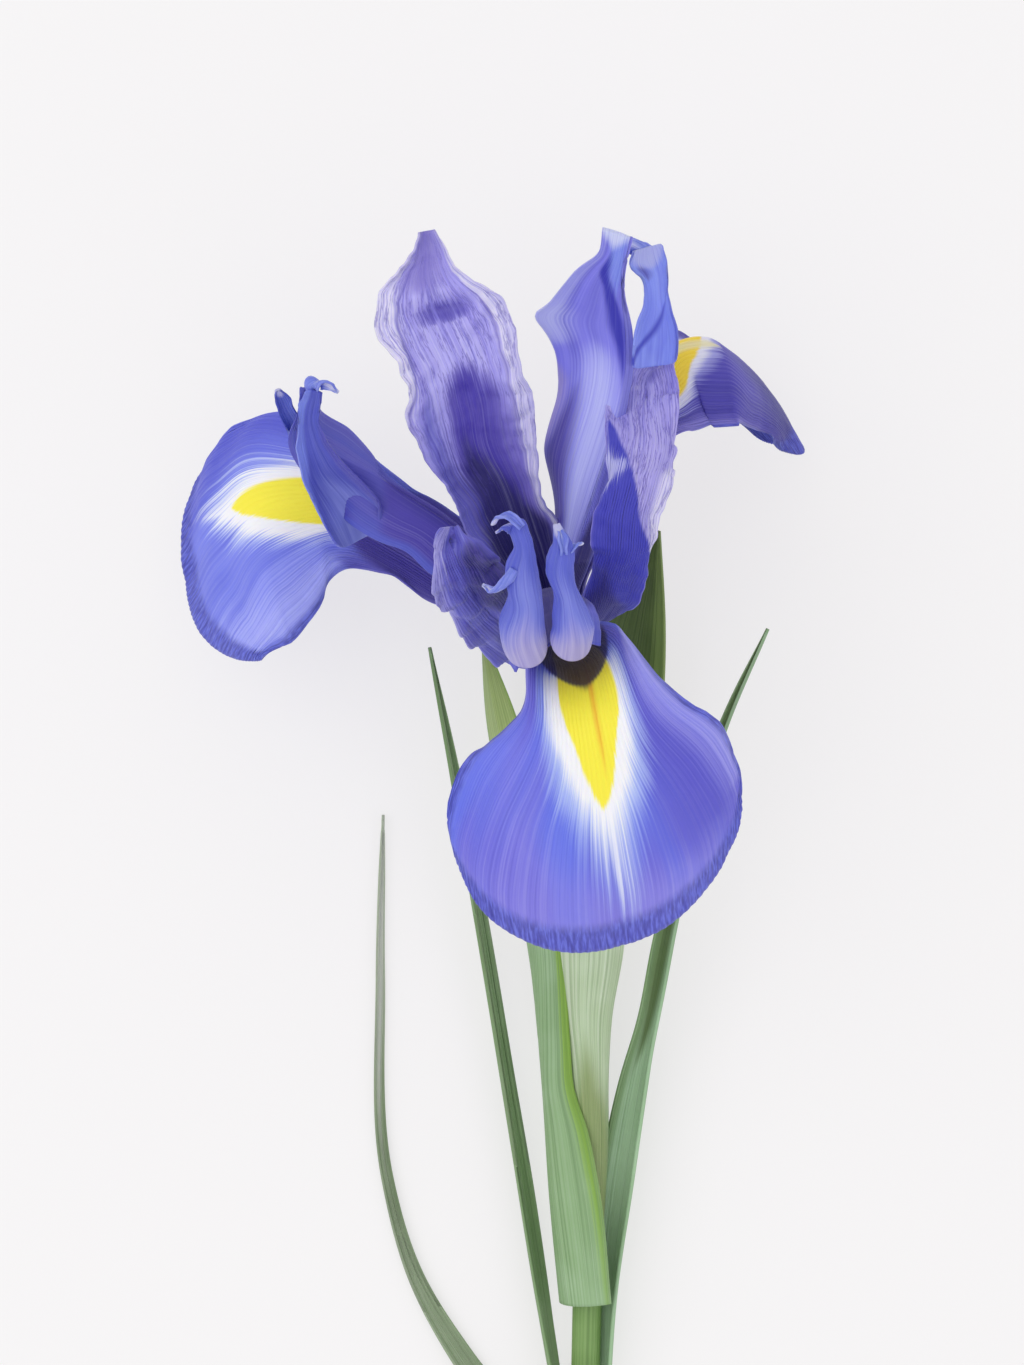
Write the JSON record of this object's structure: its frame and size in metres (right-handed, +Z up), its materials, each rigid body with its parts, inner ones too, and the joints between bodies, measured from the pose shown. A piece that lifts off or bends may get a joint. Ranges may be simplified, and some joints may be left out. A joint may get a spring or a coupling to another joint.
{
  "type": "cut iris flower",
  "caption": "Cut Dutch iris lying on its back: blue-violet bloom with yellow-marked falls, crested style arms and lavender standards, on a stem with leaves.",
  "frame": {"origin": "on the surface that the flower lies on, below the centre of its bounding box", "axes": "+Y from the stem's cut end towards the flower, +Z up, +X to the right seen from above"},
  "size_m": [0.1066, 0.2136, 0.093],
  "materials": {
    "fall": "satin petal, blue-violet with a yellow signal in a white halo",
    "standard": "thin matte petal, lavender with violet veins",
    "style": "satin petal, blue-violet with paler lobes",
    "stamen": "matte cream",
    "spathe": "waxy pale green",
    "leaf": "waxy grey-green with fine parallel veins"
  },
  "bodies": {
    "root": {"fall_front": "fall", "fall_left": "fall", "fall_right": "fall", "standard_back": "standard", "standard_left": "standard", "standard_right": "standard", "style_arm_front": "style", "style_arm_left": "style", "style_arm_right": "style", "stamen_front": "stamen", "stamen_left": "stamen", "stamen_right": "stamen", "ovary": "spathe", "spathe_inner": "spathe", "spathe_outer": "spathe", "stem": "leaf", "leaf_sheath": "leaf", "leaf_right": "leaf", "leaf_left": "leaf", "leaf_far_left": "leaf"}
  },
  "joints": []
}
